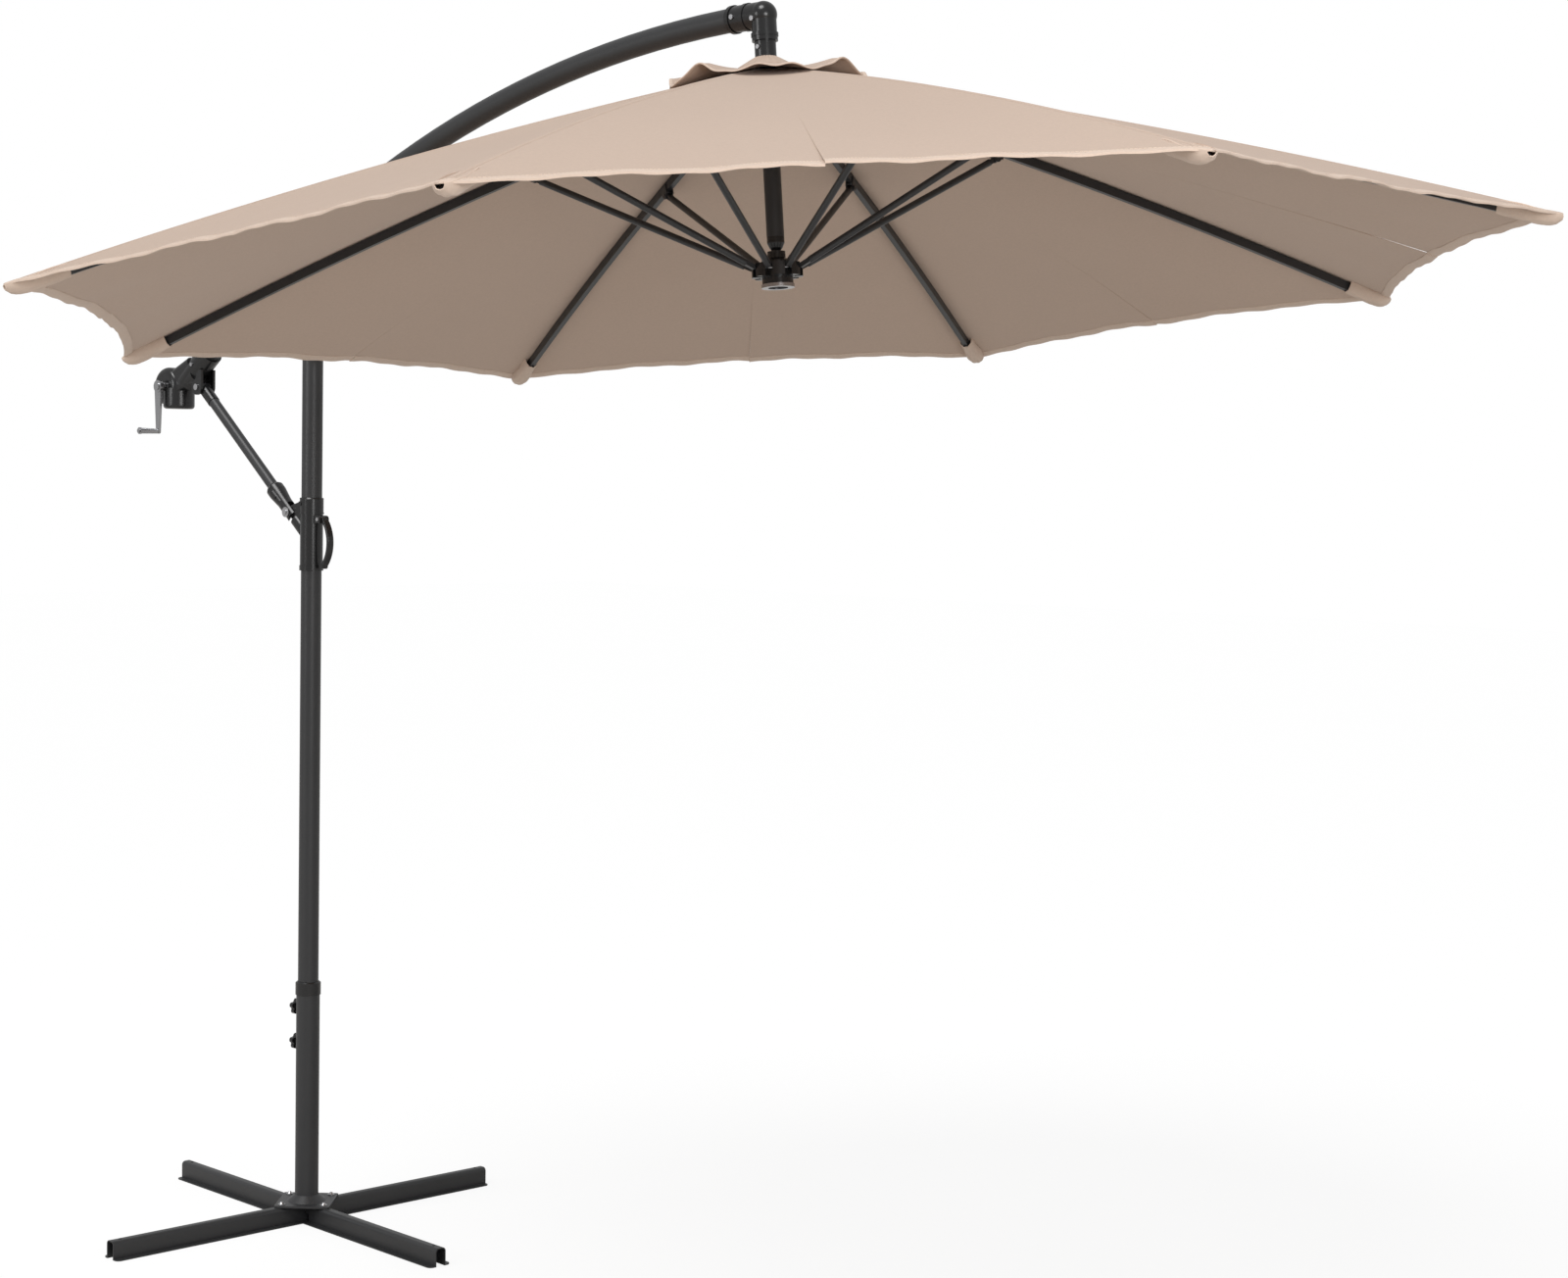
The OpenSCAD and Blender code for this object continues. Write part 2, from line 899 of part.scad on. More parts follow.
// Cap over the vent, a shallow cone around the mast
module vent_cap() {
  low = crown_height - 20;
  high = crown_height + 41;
  color(cloth)
    canopy_frame()
      difference() {
        taper(vent_radius, 24, low, high);
        taper(vent_radius, 24, low - fabric, high - fabric);
        drum(mast_r + 0.2, low - 10, high + 10);
      }
}

// ---------- runner ----------

// Hub with eight slots, open below, for the inner ends of the struts
module runner_hub() {
  color(plastic)
    canopy_frame()
      difference() {
        union() {
          drum(31, 22, 68);
          taper(31, 18, 68, 74);
          drum(18, 74, 87);
          drum(51, 36, 62);
        }
        drum(2.1, 20, 90);
        drum(14, 21, 58);
        for (k = [1:8])
          rotate([0, 0, 45 * k - 22.5])
            block([34, -7.5, 20], [60, 7.5, 70]);
        rotate_extrude()
          translate([wire_r, wire_h])
            circle(1.8 + hold_gap);
      }
}

// Bright end ring, and the wire that holds the struts
module runner_ring() {
  color(steel)
    canopy_frame() {
      difference() {
        drum(33, 15, 22);
        drum(20, 14, 23);
      }
      rotate_extrude()
        translate([wire_r, wire_h])
          circle(1.8);
    }
}

// Hoist cord from the elbow down to the runner
module mast_cord() {
  color(cord_white)
    canopy_frame()
      drum(1.5, 40, corner_h - 12);
}

// ---------- ribs and struts ----------

// Sweep a section along the bow of a rib, between two distances from its pivot
module along_rib(x0, x1) {
  a0 = asin((x0 - rib_length / 2) / bow_radius);
  a1 = asin((x1 - rib_length / 2) / bow_radius);
  translate([rib_length / 2, 0, rib_bow - bow_radius])
    rotate([90, 0, 0])
      rotate([0, 0, 90 - a1])
        rotate_extrude(angle = a1 - a0, $fn = 720)
          translate([bow_radius, 0])
            children();
}

// Hollow rib with its pivot tongue, strut bracket with rivet, and rounded tip
module rib(k) {
  color(coat)
    rib_frame(k) {
      difference() {
        union() {
          along_rib(20, rib_length - 12)
            square([2 * rib_half, 12], center = true);
          for (s = [-1, 1]) {
            block([strut_pin - 12, s * 7.2 - 1.3, 0], [strut_pin + 12, s * 7.2 + 1.3, 22]);
            ycyl(strut_pin, 0, 8, s * 7.2 - 1.3, s * 7.2 + 1.3);
          }
        }
        along_rib(19, rib_length - 14)
          square([2 * rib_half - 2.4, 9.6], center = true);
      }
      ycyl(strut_pin, 0, 2.5, -8.5, 8.5);
      ycyl(strut_pin, 0, 4.5, -10, -8.4);
      ycyl(strut_pin, 0, 4.5, 8.4, 10);
      difference() {
        union() {
          ycyl(0, 0, 7, -5, 5);
          block([0, -5, -6], [20, 5, 7]);
          block([19, -4.9, -4.5], [36, 4.9, 7]);
        }
        ycyl(0, 0, 2 + run_gap, -10, 10);
      }
      ycyl(rib_length - 12, bow(rib_length - 12), rib_half, -6, 6);
    }
}

// Strut tube with flattened ends
module strut(k) {
  color(coat)
    strut_frame(k)
      difference() {
        union() {
          ycyl(0, 0, 6.8, -5.6, 5.6);
          block([0, -5.6, -5], [19, 5.6, 5]);
          translate([17, 0, 0])
            rotate([0, 90, 0])
              cylinder(r = 7, h = strut_length - 47);
          block([strut_length - 34, -6, -4.5], [strut_length - 10, 6, 4.5]);
          ycyl(strut_length - 10, 0, 4.5, -6, 6);
        }
        ycyl(0, 0, 2.5 + run_gap, -10, 10);
      }
}

module rib_1() {
  rib(1);
}

module rib_2() {
  rib(2);
}

module rib_3() {
  rib(3);
}

module rib_4() {
  rib(4);
}

module rib_5() {
  rib(5);
}

module rib_6() {
  rib(6);
}

module rib_7() {
  rib(7);
}

module rib_8() {
  rib(8);
}

module strut_1() {
  strut(1);
}

module strut_2() {
  strut(2);
}

module strut_3() {
  strut(3);
}

module strut_4() {
  strut(4);
}

module strut_5() {
  strut(5);
}

module strut_6() {
  strut(6);
}

module strut_7() {
  strut(7);
}

module strut_8() {
  strut(8);
}

leg_a();
leg_b();
base_post();
flange_bolts();
post_collar();
knob_upper();
knob_lower();
pole_tube();
pole_head();
head_pin();
slider_body();
slider_bushes();
lever_pin();
link_pin();
slider_lever();
link_tube();
link_socket();
link_eye();
arm_tube();
arm_saddle();
saddle_screws();
winder_shell_near();
winder_shell_far();
winder_screws();
arm_link_pin();
arm_cord();
cord_spool();
crank_shaft();
crank_handle();
crank_grip();
elbow_shell();
elbow_screws();
pulley_pin();
cord_pulley();
mast_tube();
mast_plug();
crown_hub();
crown_pins();
canopy();
vent_cap();
runner_hub();
runner_ring();
mast_cord();
rib_1();
rib_2();
rib_3();
rib_4();
rib_5();
rib_6();
rib_7();
rib_8();
strut_1();
strut_2();
strut_3();
strut_4();
strut_5();
strut_6();
strut_7();
strut_8();
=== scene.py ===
import json
import math

import bmesh
import bpy
import numpy as np
from mathutils import Matrix, Vector
from mathutils import noise as perlin


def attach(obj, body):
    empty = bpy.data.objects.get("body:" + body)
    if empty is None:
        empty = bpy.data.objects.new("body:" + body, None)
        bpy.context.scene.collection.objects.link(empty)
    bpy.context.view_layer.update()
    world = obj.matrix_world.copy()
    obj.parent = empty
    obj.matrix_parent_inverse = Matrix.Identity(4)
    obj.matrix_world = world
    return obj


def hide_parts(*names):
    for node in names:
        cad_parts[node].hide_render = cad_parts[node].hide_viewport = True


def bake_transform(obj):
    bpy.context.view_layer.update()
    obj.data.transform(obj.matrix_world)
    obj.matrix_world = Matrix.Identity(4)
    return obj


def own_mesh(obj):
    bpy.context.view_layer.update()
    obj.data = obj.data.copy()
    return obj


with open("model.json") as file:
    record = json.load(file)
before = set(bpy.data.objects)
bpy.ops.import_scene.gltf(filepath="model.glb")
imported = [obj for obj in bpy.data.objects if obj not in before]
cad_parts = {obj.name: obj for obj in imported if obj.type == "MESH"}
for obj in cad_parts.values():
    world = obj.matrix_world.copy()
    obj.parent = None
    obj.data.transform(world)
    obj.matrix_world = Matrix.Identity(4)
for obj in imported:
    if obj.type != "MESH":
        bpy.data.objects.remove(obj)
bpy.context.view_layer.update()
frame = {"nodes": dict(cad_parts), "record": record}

scene = bpy.context.scene

# ---------- canopy geometry, in metres, in the row frame ----------
TILT = math.radians(5.38)
RIM = np.array([1.4566, 0.0, 2.1331])
E1 = np.array([math.cos(TILT), 0.0, math.sin(TILT)])
E2 = np.array([0.0, 1.0, 0.0])
EN = np.array([-math.sin(TILT), 0.0, math.cos(TILT)])
CROWN_R, CROWN_H = 0.038, 0.430
SLOPE = math.radians(16.62)
RIB_LEN, RIB_BOW, RIB_HALF = 1.517, 0.020, 0.009
CORNER_R, EDGE_SAG = 1.500, 0.060
EIGHTH = math.radians(22.5)
BOW_R = (RIB_LEN ** 2 / 4 + RIB_BOW ** 2) / (2 * RIB_BOW)
FABRIC = 0.0014
RIB_CLEAR = 0.0032      # between a rib's top face and the cloth
TOP_RADIUS = 0.041      # inner edge of the panels
CROWN_SLOPE = 0.25      # slope of the cloth inside the ribs' pivots
PANEL_SAG = 0.016       # between two ribs, half way down a panel
EDGE_DROP = 0.010       # extra sag at the free edge
UNEVENNESS = 0.0035     # slow, irregular height changes of the cloth
PUCKERS = 0.0022        # small folds at the free edge


def to_row(x, y, h):
    """Canopy frame to row frame."""
    return RIM + x * E1 + y * E2 + h * EN


def bow(x):
    return math.sqrt(BOW_R ** 2 - (x - RIB_LEN / 2) ** 2) - BOW_R + RIB_BOW


def rib_point(x, lift):
    """Radius and height over the rim plane of a point beside the rib, x along it from its pivot."""
    z = bow(x) + lift
    return (CROWN_R + x * math.cos(SLOPE) + z * math.sin(SLOPE),
            CROWN_H - x * math.sin(SLOPE) + z * math.cos(SLOPE))


_TX = np.linspace(0.0, RIB_LEN + 0.03, 60)
_RH = np.array([rib_point(x, RIB_HALF + RIB_CLEAR) for x in _TX])


def ridge_height(r):
    """Height of the inside of the cloth above a rib, at radius r."""
    if r < _RH[0, 0]:
        return _RH[0, 1] + (_RH[0, 0] - r) * CROWN_SLOPE
    return float(np.interp(r, _RH[:, 0], _RH[:, 1]))


APOTHEM = CORNER_R * math.cos(EIGHTH)
HALF_SIDE = CORNER_R * math.sin(EIGHTH)


def edge_radius(psi):
    """Radius of the free edge at an angle psi from the middle of a panel."""
    r = APOTHEM - EDGE_SAG
    for _ in range(12):
        y = r * math.sin(psi)
        r = (APOTHEM - EDGE_SAG * (1 - min(1.0, (y / HALF_SIDE) ** 2))) / math.cos(psi)
    return r


def cloth_point(k, psi_rib, t):
    """Underside of the canopy at angle psi_rib from rib k.

    t is 0 at the top and 1 at the free edge.
    """
    psi = EIGHTH - abs(psi_rib)
    r = TOP_RADIUS + (edge_radius(psi) - TOP_RADIUS) * t
    rc = r * math.cos(psi) / math.cos(EIGHTH)
    h = ridge_height(rc)
    side = 1 - (abs(math.tan(psi)) / math.tan(EIGHTH)) ** 2
    h -= PANEL_SAG * side * math.sin(math.pi * min(1.0, t))
    h -= EDGE_DROP * side * t ** 3
    ang = EIGHTH * (2 * k - 1) + psi_rib
    x, y = r * math.cos(ang), r * math.sin(ang)
    field = perlin.noise(Vector((x * 3.1 + 7.0, y * 3.1, 1.3)))
    unevenness = UNEVENNESS * side * (0.25 + 0.75 * t * t) * field
    puckers = PUCKERS * t ** 6 * side * math.sin(psi / EIGHTH * 14.0 + k * 1.7)
    return x, y, h + unevenness + puckers


# ---------- materials ----------
def new_mat(name):
    m = bpy.data.materials.new(name)
    m.use_nodes = True
    nt = m.node_tree
    nt.nodes.clear()
    out = nt.nodes.new("ShaderNodeOutputMaterial")
    bsdf = nt.nodes.new("ShaderNodeBsdfPrincipled")
    nt.links.new(bsdf.outputs[0], out.inputs[0])
    return m, nt, bsdf, out


def coords(nt, scale=(1, 1, 1)):
    tc = nt.nodes.new("ShaderNodeTexCoord")
    mp = nt.nodes.new("ShaderNodeMapping")
    mp.inputs["Scale"].default_value = scale
    nt.links.new(tc.outputs["Object"], mp.inputs["Vector"])
    return mp.outputs["Vector"]


def noise_node(nt, vec, scale, detail=3.0, rough=0.55):
    n = nt.nodes.new("ShaderNodeTexNoise")
    n.inputs["Scale"].default_value = scale
    n.inputs["Detail"].default_value = detail
    n.inputs["Roughness"].default_value = rough
    nt.links.new(vec, n.inputs["Vector"])
    return n.outputs["Fac"]


def remap(nt, fac, lo, hi):
    m = nt.nodes.new("ShaderNodeMapRange")
    m.inputs["To Min"].default_value = lo
    m.inputs["To Max"].default_value = hi
    nt.links.new(fac, m.inputs["Value"])
    return m.outputs["Result"]


def mix_color(nt, fac, a, b):
    m = nt.nodes.new("ShaderNodeMix")
    m.data_type = "RGBA"
    m.inputs["A"].default_value = (*a, 1)
    m.inputs["B"].default_value = (*b, 1)
    nt.links.new(fac, m.inputs["Factor"])
    return m.outputs["Result"]


def bump(nt, bsdf, fac, strength, distance, normal=None):
    b = nt.nodes.new("ShaderNodeBump")
    b.inputs["Strength"].default_value = strength
    b.inputs["Distance"].default_value = distance
    nt.links.new(fac, b.inputs["Height"])
    if normal is not None:
        nt.links.new(normal, b.inputs["Normal"])
    nt.links.new(b.outputs["Normal"], bsdf.inputs["Normal"])
    return b.outputs["Normal"]


def simple(name, dark, light, rough_lo, rough_hi, scale, metallic=0.0, bump_strength=0.1,
           bump_distance=0.0002, coat=0.0, specular=0.5, stretch=(1, 1, 1)):
    m, nt, b, out = new_mat(name)
    vec = coords(nt, stretch)
    big = noise_node(nt, vec, 6.0, 3.0)
    fine = noise_node(nt, vec, scale, 4.0, 0.6)
    nt.links.new(mix_color(nt, big, dark, light), b.inputs["Base Color"])
    nt.links.new(remap(nt, fine, rough_lo, rough_hi), b.inputs["Roughness"])
    b.inputs["Metallic"].default_value = metallic
    b.inputs["Coat Weight"].default_value = coat
    b.inputs["Coat Roughness"].default_value = 0.12
    b.inputs["Specular IOR Level"].default_value = specular
    bump(nt, b, fine, bump_strength, bump_distance)
    return m


powder = simple("powder_coat", (0.018, 0.0185, 0.020), (0.024, 0.0245, 0.026), 0.36, 0.44, 900.0,
                bump_strength=0.12, bump_distance=0.00008, specular=0.5)
plastic = simple("black_plastic", (0.0070, 0.0070, 0.0075), (0.0095, 0.0095, 0.010),
                 0.20, 0.28, 400.0, bump_strength=0.04, bump_distance=0.00012, specular=0.5)
inner = simple("inner_plastic", (0.03, 0.03, 0.032), (0.045, 0.045, 0.047), 0.5, 0.65, 700.0)
zinc = simple("zinc_hardware", (0.42, 0.42, 0.43), (0.52, 0.52, 0.53), 0.22, 0.36, 600.0,
              metallic=1.0)
chrome = simple("bright_metal", (0.34, 0.34, 0.35), (0.46, 0.46, 0.47), 0.16, 0.30, 300.0,
                metallic=1.0, stretch=(1, 1, 3))
cordmat = simple("hoist_cord", (0.05, 0.05, 0.05), (0.12, 0.12, 0.12), 0.6, 0.8, 1500.0,
                 bump_strength=0.5, bump_distance=0.0004)


def cloth_material(name, dark, light, glow, weave=1.0):
    m, nt, b, out = new_mat(name)
    vec = coords(nt)
    big = noise_node(nt, vec, 2.2, 3.0)
    mottled = noise_node(nt, vec, 160.0, 3.0, 0.7)
    base = mix_color(nt, big, dark, light)
    shade = nt.nodes.new("ShaderNodeMix")
    shade.data_type = "RGBA"
    shade.blend_type = "MULTIPLY"
    shade.inputs["Factor"].default_value = 0.18
    nt.links.new(base, shade.inputs["A"])
    nt.links.new(mottled, shade.inputs["B"])
    nt.links.new(shade.outputs["Result"], b.inputs["Base Color"])
    b.inputs["Roughness"].default_value = 0.82
    b.inputs["Specular IOR Level"].default_value = 0.22
    b.inputs["Sheen Weight"].default_value = 0.12
    b.inputs["Sheen Roughness"].default_value = 0.6
    weft = nt.nodes.new("ShaderNodeTexWave")
    weft.inputs["Scale"].default_value = 420.0
    weft.bands_direction = "X"
    warp = nt.nodes.new("ShaderNodeTexWave")
    warp.inputs["Scale"].default_value = 420.0
    warp.bands_direction = "Y"
    for w in (weft, warp):
        w.inputs["Distortion"].default_value = 0.6
        nt.links.new(vec, w.inputs["Vector"])
    mul = nt.nodes.new("ShaderNodeMath")
    mul.operation = "MULTIPLY"
    nt.links.new(weft.outputs["Fac"], mul.inputs[0])
    nt.links.new(warp.outputs["Fac"], mul.inputs[1])
    n1 = bump(nt, b, mul.outputs[0], 0.25 * weave, 0.0002)
    soft = noise_node(nt, vec, 14.0, 4.0, 0.5)
    bump(nt, b, soft, 0.20, 0.004, n1)
    thin = nt.nodes.new("ShaderNodeBsdfTranslucent")
    thin.inputs["Color"].default_value = (*glow, 1)
    mixs = nt.nodes.new("ShaderNodeMixShader")
    mixs.inputs[0].default_value = 0.07
    nt.links.new(b.outputs[0], mixs.inputs[1])
    nt.links.new(thin.outputs[0], mixs.inputs[2])
    nt.links.new(mixs.outputs[0], out.inputs[0])
    return m


cloth = cloth_material("canopy_cloth", (0.530, 0.400, 0.316), (0.555, 0.421, 0.334),
                       (0.52, 0.37, 0.27))
# Lighter copy of the canopy cloth for the hems, tip pockets and vent hem: the extra lightness is
# painted highlight, standing in for light caught on hem edges and pocket folds
painted_highlight_cloth = cloth_material("hem_cloth", (0.64, 0.50, 0.405), (0.69, 0.545, 0.445),
                          (0.58, 0.43, 0.33))
thread = simple("stitch_thread", (0.62, 0.50, 0.41), (0.72, 0.60, 0.50), 0.7, 0.85, 1500.0,
                bump_strength=0.3, bump_distance=0.0003)

SLOTS = {"powder_coat": powder, "black_plastic": plastic, "inner_plastic": inner,
         "zinc_hardware": zinc, "bright_metal": chrome, "canopy_cloth": cloth,
         "hoist_cord": cordmat}
for sub in frame["record"]["subparts"]:
    o = frame["nodes"][sub["node"]]
    o.data.materials.clear()
    o.data.materials.append(SLOTS[sub["material_slot"]])


# ---------- mesh helpers ----------
def add_mesh(name, verts, faces, mat, smooth=True):
    me = bpy.data.meshes.new(name)
    me.from_pydata([tuple(map(float, v)) for v in verts], [], faces)
    me.update()
    o = bpy.data.objects.new(name, me)
    scene.collection.objects.link(o)
    me.materials.append(mat)
    if smooth:
        me.polygons.foreach_set("use_smooth", [True] * len(me.polygons))
        me.set_sharp_from_angle(angle=math.radians(40))
    return o


def slab(name, grid_top, grid_bottom, mat):
    """Closed thin solid between two grids of points of the same size."""
    rows, cols = len(grid_top), len(grid_top[0])
    verts = [p for row in grid_top for p in row] + [p for row in grid_bottom for p in row]
    off = rows * cols
    faces = []
    for i in range(rows - 1):
        for j in range(cols - 1):
            a, b, c, d = i * cols + j, i * cols + j + 1, (i + 1) * cols + j + 1, (i + 1) * cols + j
            faces.append((a, d, c, b))
            faces.append((off + a, off + b, off + c, off + d))
    ring = ([(0, j) for j in range(cols)]
            + [(i, cols - 1) for i in range(1, rows)]
            + [(rows - 1, j) for j in range(cols - 2, -1, -1)]
            + [(i, 0) for i in range(rows - 2, 0, -1)])
    for n in range(len(ring)):
        (i0, j0), (i1, j1) = ring[n], ring[(n + 1) % len(ring)]
        a, b = i0 * cols + j0, i1 * cols + j1
        faces.append((a, b, off + b, off + a))
    return add_mesh(name, verts, faces, mat)


def outward(o):
    """Face normals turned outwards."""
    bm = bmesh.new()
    bm.from_mesh(o.data)
    bmesh.ops.recalc_face_normals(bm, faces=bm.faces)
    bm.to_mesh(o.data)
    bm.free()
    return o


def mount_cloth(o, k):
    """Cloth that turns with rib k."""
    outward(o)
    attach(o, "rib_%d" % k)
    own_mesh(o)
    return o


# ---------- canopy: one gore per rib ----------
NU = 60
NV = 33
fans = [math.copysign(abs(v) ** 1.15, v) for v in np.linspace(-1, 1, NV)]
for k in range(1, 9):
    top, low = [], []
    for i in range(NU + 1):
        t = (i / NU) ** 0.9    # rows a little closer near the free edge
        rt, rl = [], []
        for v in fans:
            x, y, h = cloth_point(k, v * EIGHTH, t)
            rl.append(to_row(x, y, h))
            rt.append(to_row(x, y, h + FABRIC))
        top.append(rt)
        low.append(rl)
    o = slab("gore_%d" % k, top, low, cloth)
    mount_cloth(o, k)
    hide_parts("canopy")

# Hem: a folded band along the free edge, a little wavy, thicker than the cloth, made in the lighter
# cloth whose extra lightness is painted highlight along the edge
HEM_POINTS = 81
HEM_INSETS = (0.0, 0.004, 0.019, 0.022)
HEM_OVERHANG = 0.0025
for k in range(1, 9):
    top, low = [], []
    for s, width in enumerate(HEM_INSETS):
        rt, rl = [], []
        for v in np.linspace(-1, 1, HEM_POINTS):
            t = 1 + (HEM_OVERHANG - width) / edge_radius(EIGHTH - abs(v * EIGHTH))
            x, y, h = cloth_point(k, v * EIGHTH, t)
            fat = 0.0006 if s in (0, 3) else 0.0014
            wave = 0.0010 * math.sin(v * 41.0 + k * 2.1) * (1 if s < 2 else 0.4)
            rt.append(to_row(x, y, h + FABRIC + fat + wave))
            rl.append(to_row(x, y, h - fat * 1.6 + wave))
        top.append(rt)
        low.append(rl)
    o = slab("hem_%d" % k, top, low, painted_highlight_cloth)
    mount_cloth(o, k)

# Seam along each rib
SEAM_OFFSETS = (-0.007, -0.0055, 0.0, 0.0055, 0.007)
SEAM_START, SEAM_SHARE = 0.02, 0.965    # as shares of the panel's length
SEAM_STEPS = 60
for k in range(1, 9):
    top, low = [], []
    for i in range(SEAM_STEPS + 1):
        t = SEAM_START + SEAM_SHARE * i / SEAM_STEPS
        rt, rl = [], []
        for w in SEAM_OFFSETS:
            r = TOP_RADIUS + (edge_radius(EIGHTH) - TOP_RADIUS) * t
            psi = w / r
            x, y, h = cloth_point(k, psi, t)
            fat = 0.0003 if abs(w) > 0.006 else 0.0009
            rt.append(to_row(x, y, h + FABRIC + fat))
            rl.append(to_row(x, y, h + FABRIC - 0.0003))
        top.append(rt)
        low.append(rl)
    o = slab("seam_%d" % k, top, low, cloth)
    mount_cloth(o, k)


def rib_local(k, x, y, z):
    """Point in the frame of rib k: x along it, y sideways, z square to it, up."""
    r = CROWN_R + x * math.cos(SLOPE) + z * math.sin(SLOPE)
    h = CROWN_H - x * math.sin(SLOPE) + z * math.cos(SLOPE)
    a = EIGHTH * (2 * k - 1)
    return to_row(r * math.cos(a) - y * math.sin(a), r * math.sin(a) + y * math.cos(a), h)


POCKET_START, POCKET_LENGTH = 1.408, 0.117


def pocket(k):
    """Sleeve under the cloth that holds the tip of rib k, open inwards and closed at the tip."""
    outer, inside = [], []
    for s in np.linspace(0.0, 1.0, 15):
        x = POCKET_START + POCKET_LENGTH * s
        end = math.sqrt(max(0.0, 1 - max(0.0, (s - 0.55) / 0.47) ** 2.4))
        half = (0.015 + 0.010 * s) * (0.03 + 0.97 * end)
        deep = (0.024 + 0.003 * s) * (0.03 + 0.97 * end)
        top_z = bow(min(x, RIB_LEN)) + RIB_HALF + 0.003
        ro, ri = [], []
        for a in np.linspace(0, math.pi, 17):
            y = half * math.cos(a)
            z = top_z - 0.001 - deep * math.sin(a) ** 0.8
            wrinkle = 0.0011 * end * math.sin(a * 9 + k * 2 + s * 8)
            ro.append(rib_local(k, x, y * (1 + wrinkle * 20), z + wrinkle))
            ri.append(rib_local(k, x - (0.0012 if s > 0.9 else 0), y * 0.93, z + 0.0013 + wrinkle))
        outer.append(ro)
        inside.append(ri)
    # Made in the lighter cloth: painted highlight on the pocket folds
    o = slab("tip_pocket_%d" % k, outer, inside, painted_highlight_cloth)
    outward(o)
    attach(o, "rib_%d" % k)


for k in range(1, 9):
    pocket(k)


STITCH_PITCH, STITCH_INSET, EDGE_LENGTH = 0.006, 0.016, 1.1


def stitches(k):
    """Short raised threads along the hem beside rib k, all in one piece."""
    verts, faces = [], []
    n = int(EDGE_LENGTH / STITCH_PITCH)
    for i in range(n):
        v = -1 + 2 * (i + 0.5) / n
        pts = []
        for dv in (-0.32, 0.32):
            vv = v + dv * 2 / n
            t = 1 - STITCH_INSET / edge_radius(EIGHTH - abs(vv * EIGHTH))
            x, y, h = cloth_point(k, vv * EIGHTH, t)
            pts.append(to_row(x, y, h + FABRIC + 0.0016))
        a, b = pts
        d = (b - a) / np.linalg.norm(b - a)
        side = np.cross(d, EN) * 0.0006
        base = len(verts)
        for p in (a, b):
            verts += [p - side, p + EN * 0.0005, p + side, p - EN * 0.0008]
        faces += [(base, base + 1, base + 5, base + 4), (base + 1, base + 2, base + 6, base + 5),
                  (base + 2, base + 3, base + 7, base + 6), (base + 3, base, base + 4, base + 7),
                  (base + 3, base + 2, base + 1, base), (base + 4, base + 5, base + 6, base + 7)]
    o = add_mesh("hem_stitch_%d" % k, verts, faces, thread, smooth=False)
    mount_cloth(o, k)


for k in range(1, 9):
    stitches(k)

# ---------- vent cap: eight flaps and a collar ----------
VENT_R = 0.205
COLLAR_R = 0.054
MAST_CLEAR_R = 0.0185   # inner edge of the collar, round the mast
CONE_WIDTH, CONE_RISE = 0.0665, 0.0200
CAP_CLEAR = 0.0028      # between the canopy and the cap, above a rib
CAP_LIFT = 0.023        # of the flaps' edges between the ribs
CAP_ROWS, CAP_COLUMNS = 16, 41
CAP_HALF = 0.0007


def cap_height(r):
    """Height of the cap's underside above a rib: a cone that comes down on the canopy."""
    cone = max(0.0, 1 - (r - MAST_CLEAR_R) / CONE_WIDTH)
    return ridge_height(r) + FABRIC + CAP_CLEAR + CONE_RISE * cone ** 1.25


def cap_point(k, psi_rib, t):
    """Middle of the cap's cloth: down on the ribs, lifted and rippled between them."""
    r = COLLAR_R + (VENT_R - COLLAR_R) * t
    a = EIGHTH * (2 * k - 1) + psi_rib
    mid = 1 - math.cos(psi_rib / EIGHTH * math.pi)
    r_edge = 1 - 0.06 * (mid / 2) * t
    h = cap_height(r * r_edge) + 0.0015
    lift = (mid / 2) ** 0.85 * t ** 1.5
    h += CAP_LIFT * lift * (1.0 + 0.30 * math.sin(3 * a + 1.0))
    h += 0.005 * lift * math.sin(11 * a + 0.5) + 0.0012 * t ** 2 * (1 + math.sin(19 * a))
    h -= 0.006 * (mid / 2) * max(0.0, t - 0.80) / 0.20
    return r * r_edge * math.cos(a), r * r_edge * math.sin(a), h


for k in range(1, 9):
    top, low = [], []
    for i in range(CAP_ROWS + 1):
        t = i / CAP_ROWS
        rt, rl = [], []
        for v in np.linspace(-1, 1, CAP_COLUMNS):
            x, y, h = cap_point(k, v * EIGHTH, t)
            rt.append(to_row(x, y, h + CAP_HALF))
            rl.append(to_row(x, y, h - CAP_HALF))
        top.append(rt)
        low.append(rl)
    o = slab("vent_flap_%d" % k, top, low, cloth)
    mount_cloth(o, k)
    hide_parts("vent_cap")
    top, low = [], []
    for s, t in enumerate((1.002, 0.992, 0.960, 0.950)):
        rt, rl = [], []
        for v in np.linspace(-1, 1, CAP_COLUMNS):
            x, y, h = cap_point(k, v * EIGHTH, t)
            fat = 0.0003 if s in (0, 3) else 0.0009
            rt.append(to_row(x, y, h + CAP_HALF + fat))
            rl.append(to_row(x, y, h - CAP_HALF - fat))
        top.append(rt)
        low.append(rl)
    # Made in the lighter cloth: painted highlight along the cap's hem edge
    o = slab("vent_hem_%d" % k, top, low, painted_highlight_cloth)
    mount_cloth(o, k)

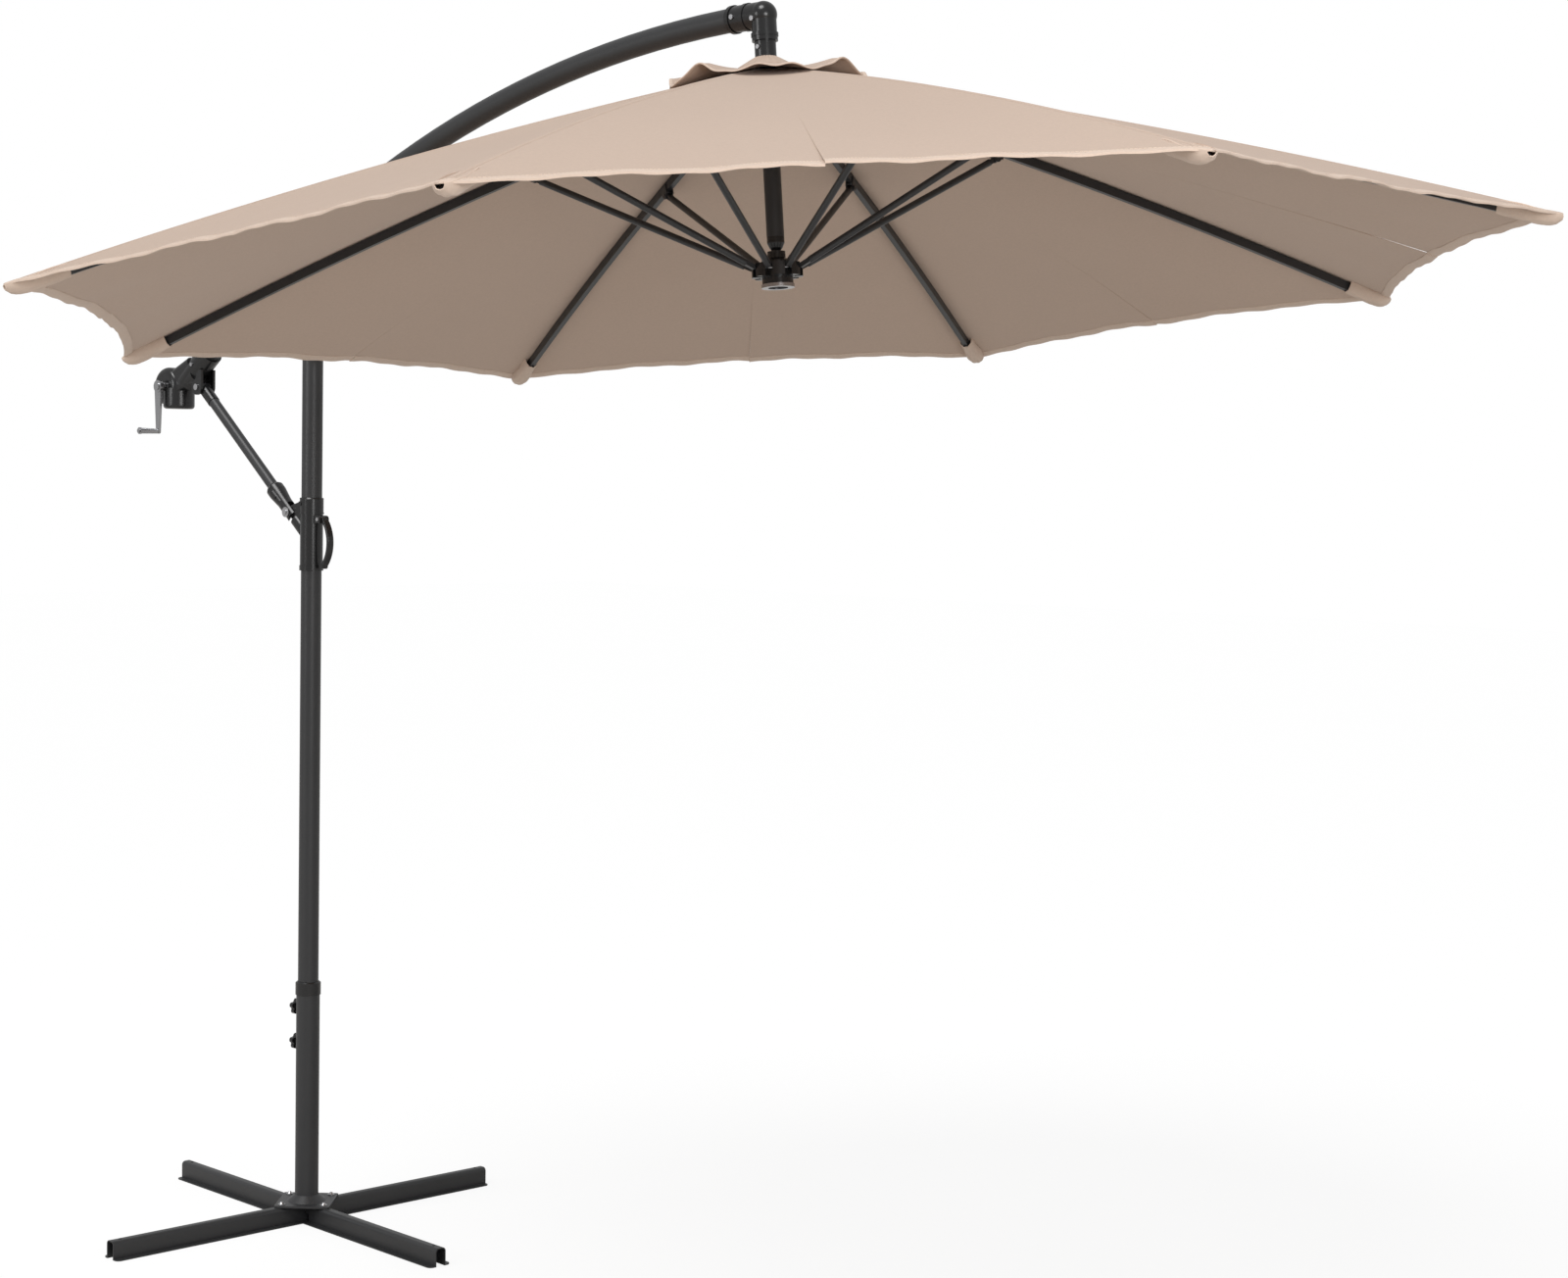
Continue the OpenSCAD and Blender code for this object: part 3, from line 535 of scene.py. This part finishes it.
# Gathered collar of the cap round the mast
n = 96
verts, faces = [], []
collar_radii = (MAST_CLEAR_R, 0.030, 0.045, 0.060)
profile = [(r, cap_height(r) - CROWN_H + 0.0032) for r in collar_radii]
profile += [(r, cap_height(r) - CROWN_H + 0.0018) for r in reversed(collar_radii)]
for j in range(n):
    a = 2 * math.pi * j / n
    for i, (r, h) in enumerate(profile):
        gather = 0.0012 * math.sin(24 * a) * (1 if 0 < i < 3 else 0.3)
        verts.append(to_row(r * math.cos(a), r * math.sin(a), CROWN_H + h + gather))
m = len(profile)
for j in range(n):
    for i in range(m):
        a0, a1 = j * m + i, j * m + (i + 1) % m
        b0, b1 = ((j + 1) % n) * m + i, ((j + 1) % n) * m + (i + 1) % m
        faces.append((a0, b0, b1, a1))
collar = outward(add_mesh("vent_collar", verts, faces, cloth))
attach(collar, "arm")

# ---------- hoist cord: a thin round cord up the middle of the mast ------------------------
CORD_R, CORD_LOW, CORD_HIGH = 0.0015, 0.040, 0.546
verts, faces = [], []
steps, sides = 60, 10
for i in range(steps + 1):
    h = CORD_LOW + (CORD_HIGH - CORD_LOW) * i / steps
    for j in range(sides):
        a = 2 * math.pi * j / sides
        verts.append(to_row(CORD_R * math.cos(a), CORD_R * math.sin(a), h))
for i in range(steps):
    for j in range(sides):
        a0, a1 = i * sides + j, i * sides + (j + 1) % sides
        faces.append((a0, a1, a1 + sides, a0 + sides))
faces.append(tuple(range(sides - 1, -1, -1)))
faces.append(tuple(range(steps * sides, (steps + 1) * sides)))
cord = outward(add_mesh("mast_cord_soft", verts, faces, cordmat))
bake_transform(cord)
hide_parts("mast_cord")

# ---------- floor, light, camera ----------
# The floor and the background look white to the camera and are darker as light sources, so that the
# underside of the canopy stays in shade
floor_mat, fnt, fb, fo = new_mat("pale_floor")
fvec = coords(fnt)
seen = mix_color(fnt, noise_node(fnt, fvec, 0.6, 2.0), (0.90, 0.90, 0.90), (0.93, 0.93, 0.93))
path = fnt.nodes.new("ShaderNodeLightPath")
bounce = fnt.nodes.new("ShaderNodeMix")
bounce.data_type = "RGBA"
bounce.inputs["A"].default_value = (0.56, 0.545, 0.525, 1)
fnt.links.new(path.outputs["Is Camera Ray"], bounce.inputs["Factor"])
fnt.links.new(seen, bounce.inputs["B"])
fnt.links.new(bounce.outputs["Result"], fb.inputs["Base Color"])
white = fnt.nodes.new("ShaderNodeEmission")
white.inputs["Color"].default_value = (1, 1, 1, 1)
share = fnt.nodes.new("ShaderNodeMath")
share.operation = "MULTIPLY"
share.inputs[1].default_value = 0.86
fnt.links.new(path.outputs["Is Camera Ray"], share.inputs[0])
paper = fnt.nodes.new("ShaderNodeMixShader")
fnt.links.new(share.outputs[0], paper.inputs[0])
fnt.links.new(fb.outputs[0], paper.inputs[1])
fnt.links.new(white.outputs[0], paper.inputs[2])
fnt.links.new(paper.outputs[0], fo.inputs[0])
fb.inputs["Roughness"].default_value = 0.9
fb.inputs["Specular IOR Level"].default_value = 0.1
bpy.ops.mesh.primitive_plane_add(size=60, location=(0, 0, -0.0005))
floor = bpy.context.object
floor.name = "floor"
floor.data.materials.append(floor_mat)

world = bpy.data.worlds.new("studio")
world.use_nodes = True
wnt = world.node_tree
sky = wnt.nodes["Background"]
sky.inputs[0].default_value = (1, 1, 1, 1)
ray = wnt.nodes.new("ShaderNodeLightPath")
level = wnt.nodes.new("ShaderNodeMapRange")
level.inputs["To Min"].default_value = 0.58
level.inputs["To Max"].default_value = 1.0
wnt.links.new(ray.outputs["Is Camera Ray"], level.inputs["Value"])
wnt.links.new(level.outputs["Result"], sky.inputs[1])
scene.world = world


def area(name, loc, target, size, power):
    lamp = bpy.data.lights.new(name, "AREA")
    lamp.shape = "DISK"
    lamp.size = size
    lamp.energy = power
    o = bpy.data.objects.new(name, lamp)
    scene.collection.objects.link(o)
    o.location = loc
    d = Vector(target) - Vector(loc)
    o.rotation_mode = "QUATERNION"
    o.rotation_quaternion = d.to_track_quat("-Z", "Y")
    return o


def sun(name, direction, strength, degrees):
    lamp = bpy.data.lights.new(name, "SUN")
    lamp.energy = strength
    lamp.angle = math.radians(degrees)
    o = bpy.data.objects.new(name, lamp)
    scene.collection.objects.link(o)
    o.rotation_mode = "QUATERNION"
    o.rotation_quaternion = Vector(direction).to_track_quat("-Z", "Y")
    return o


sun("key", (-0.10, 0.62, -1.0), 1.85, 30)
area("fill", (-1.6, -7.2, 3.2), (0.6, 0, 1.4), 2.4, 90)
area("strip", (5.5, -2.2, 2.6), (0.2, 0, 1.2), 2.0, 75)

scene.view_settings.view_transform = "Standard"
scene.view_settings.look = "None"
scene.view_settings.exposure = 0.0

CAMERA_AT = (5.1411, -4.1035, 1.7589)
cam_data = bpy.data.cameras.new("camera")
cam = bpy.data.objects.new("camera", cam_data)
scene.collection.objects.link(cam)
scene.camera = cam
cam_data.sensor_width = 36.0
cam_data.lens = 63.56
cam_data.clip_start, cam_data.clip_end = 0.05, 200.0
YAW, PITCH, ROLL = math.radians(-41.6885), math.radians(-3.187), math.radians(0.974)
forward = Vector((math.sin(YAW) * math.cos(PITCH), math.cos(YAW) * math.cos(PITCH),
                  math.sin(PITCH)))
right = Vector((math.cos(YAW), -math.sin(YAW), 0.0))
up = right.cross(forward)
right2 = math.cos(ROLL) * right + math.sin(ROLL) * up
up2 = -math.sin(ROLL) * right + math.cos(ROLL) * up
cam.matrix_world = Matrix((
    (right2.x, up2.x, -forward.x, CAMERA_AT[0]),
    (right2.y, up2.y, -forward.y, CAMERA_AT[1]),
    (right2.z, up2.z, -forward.z, CAMERA_AT[2]),
    (0, 0, 0, 1)))
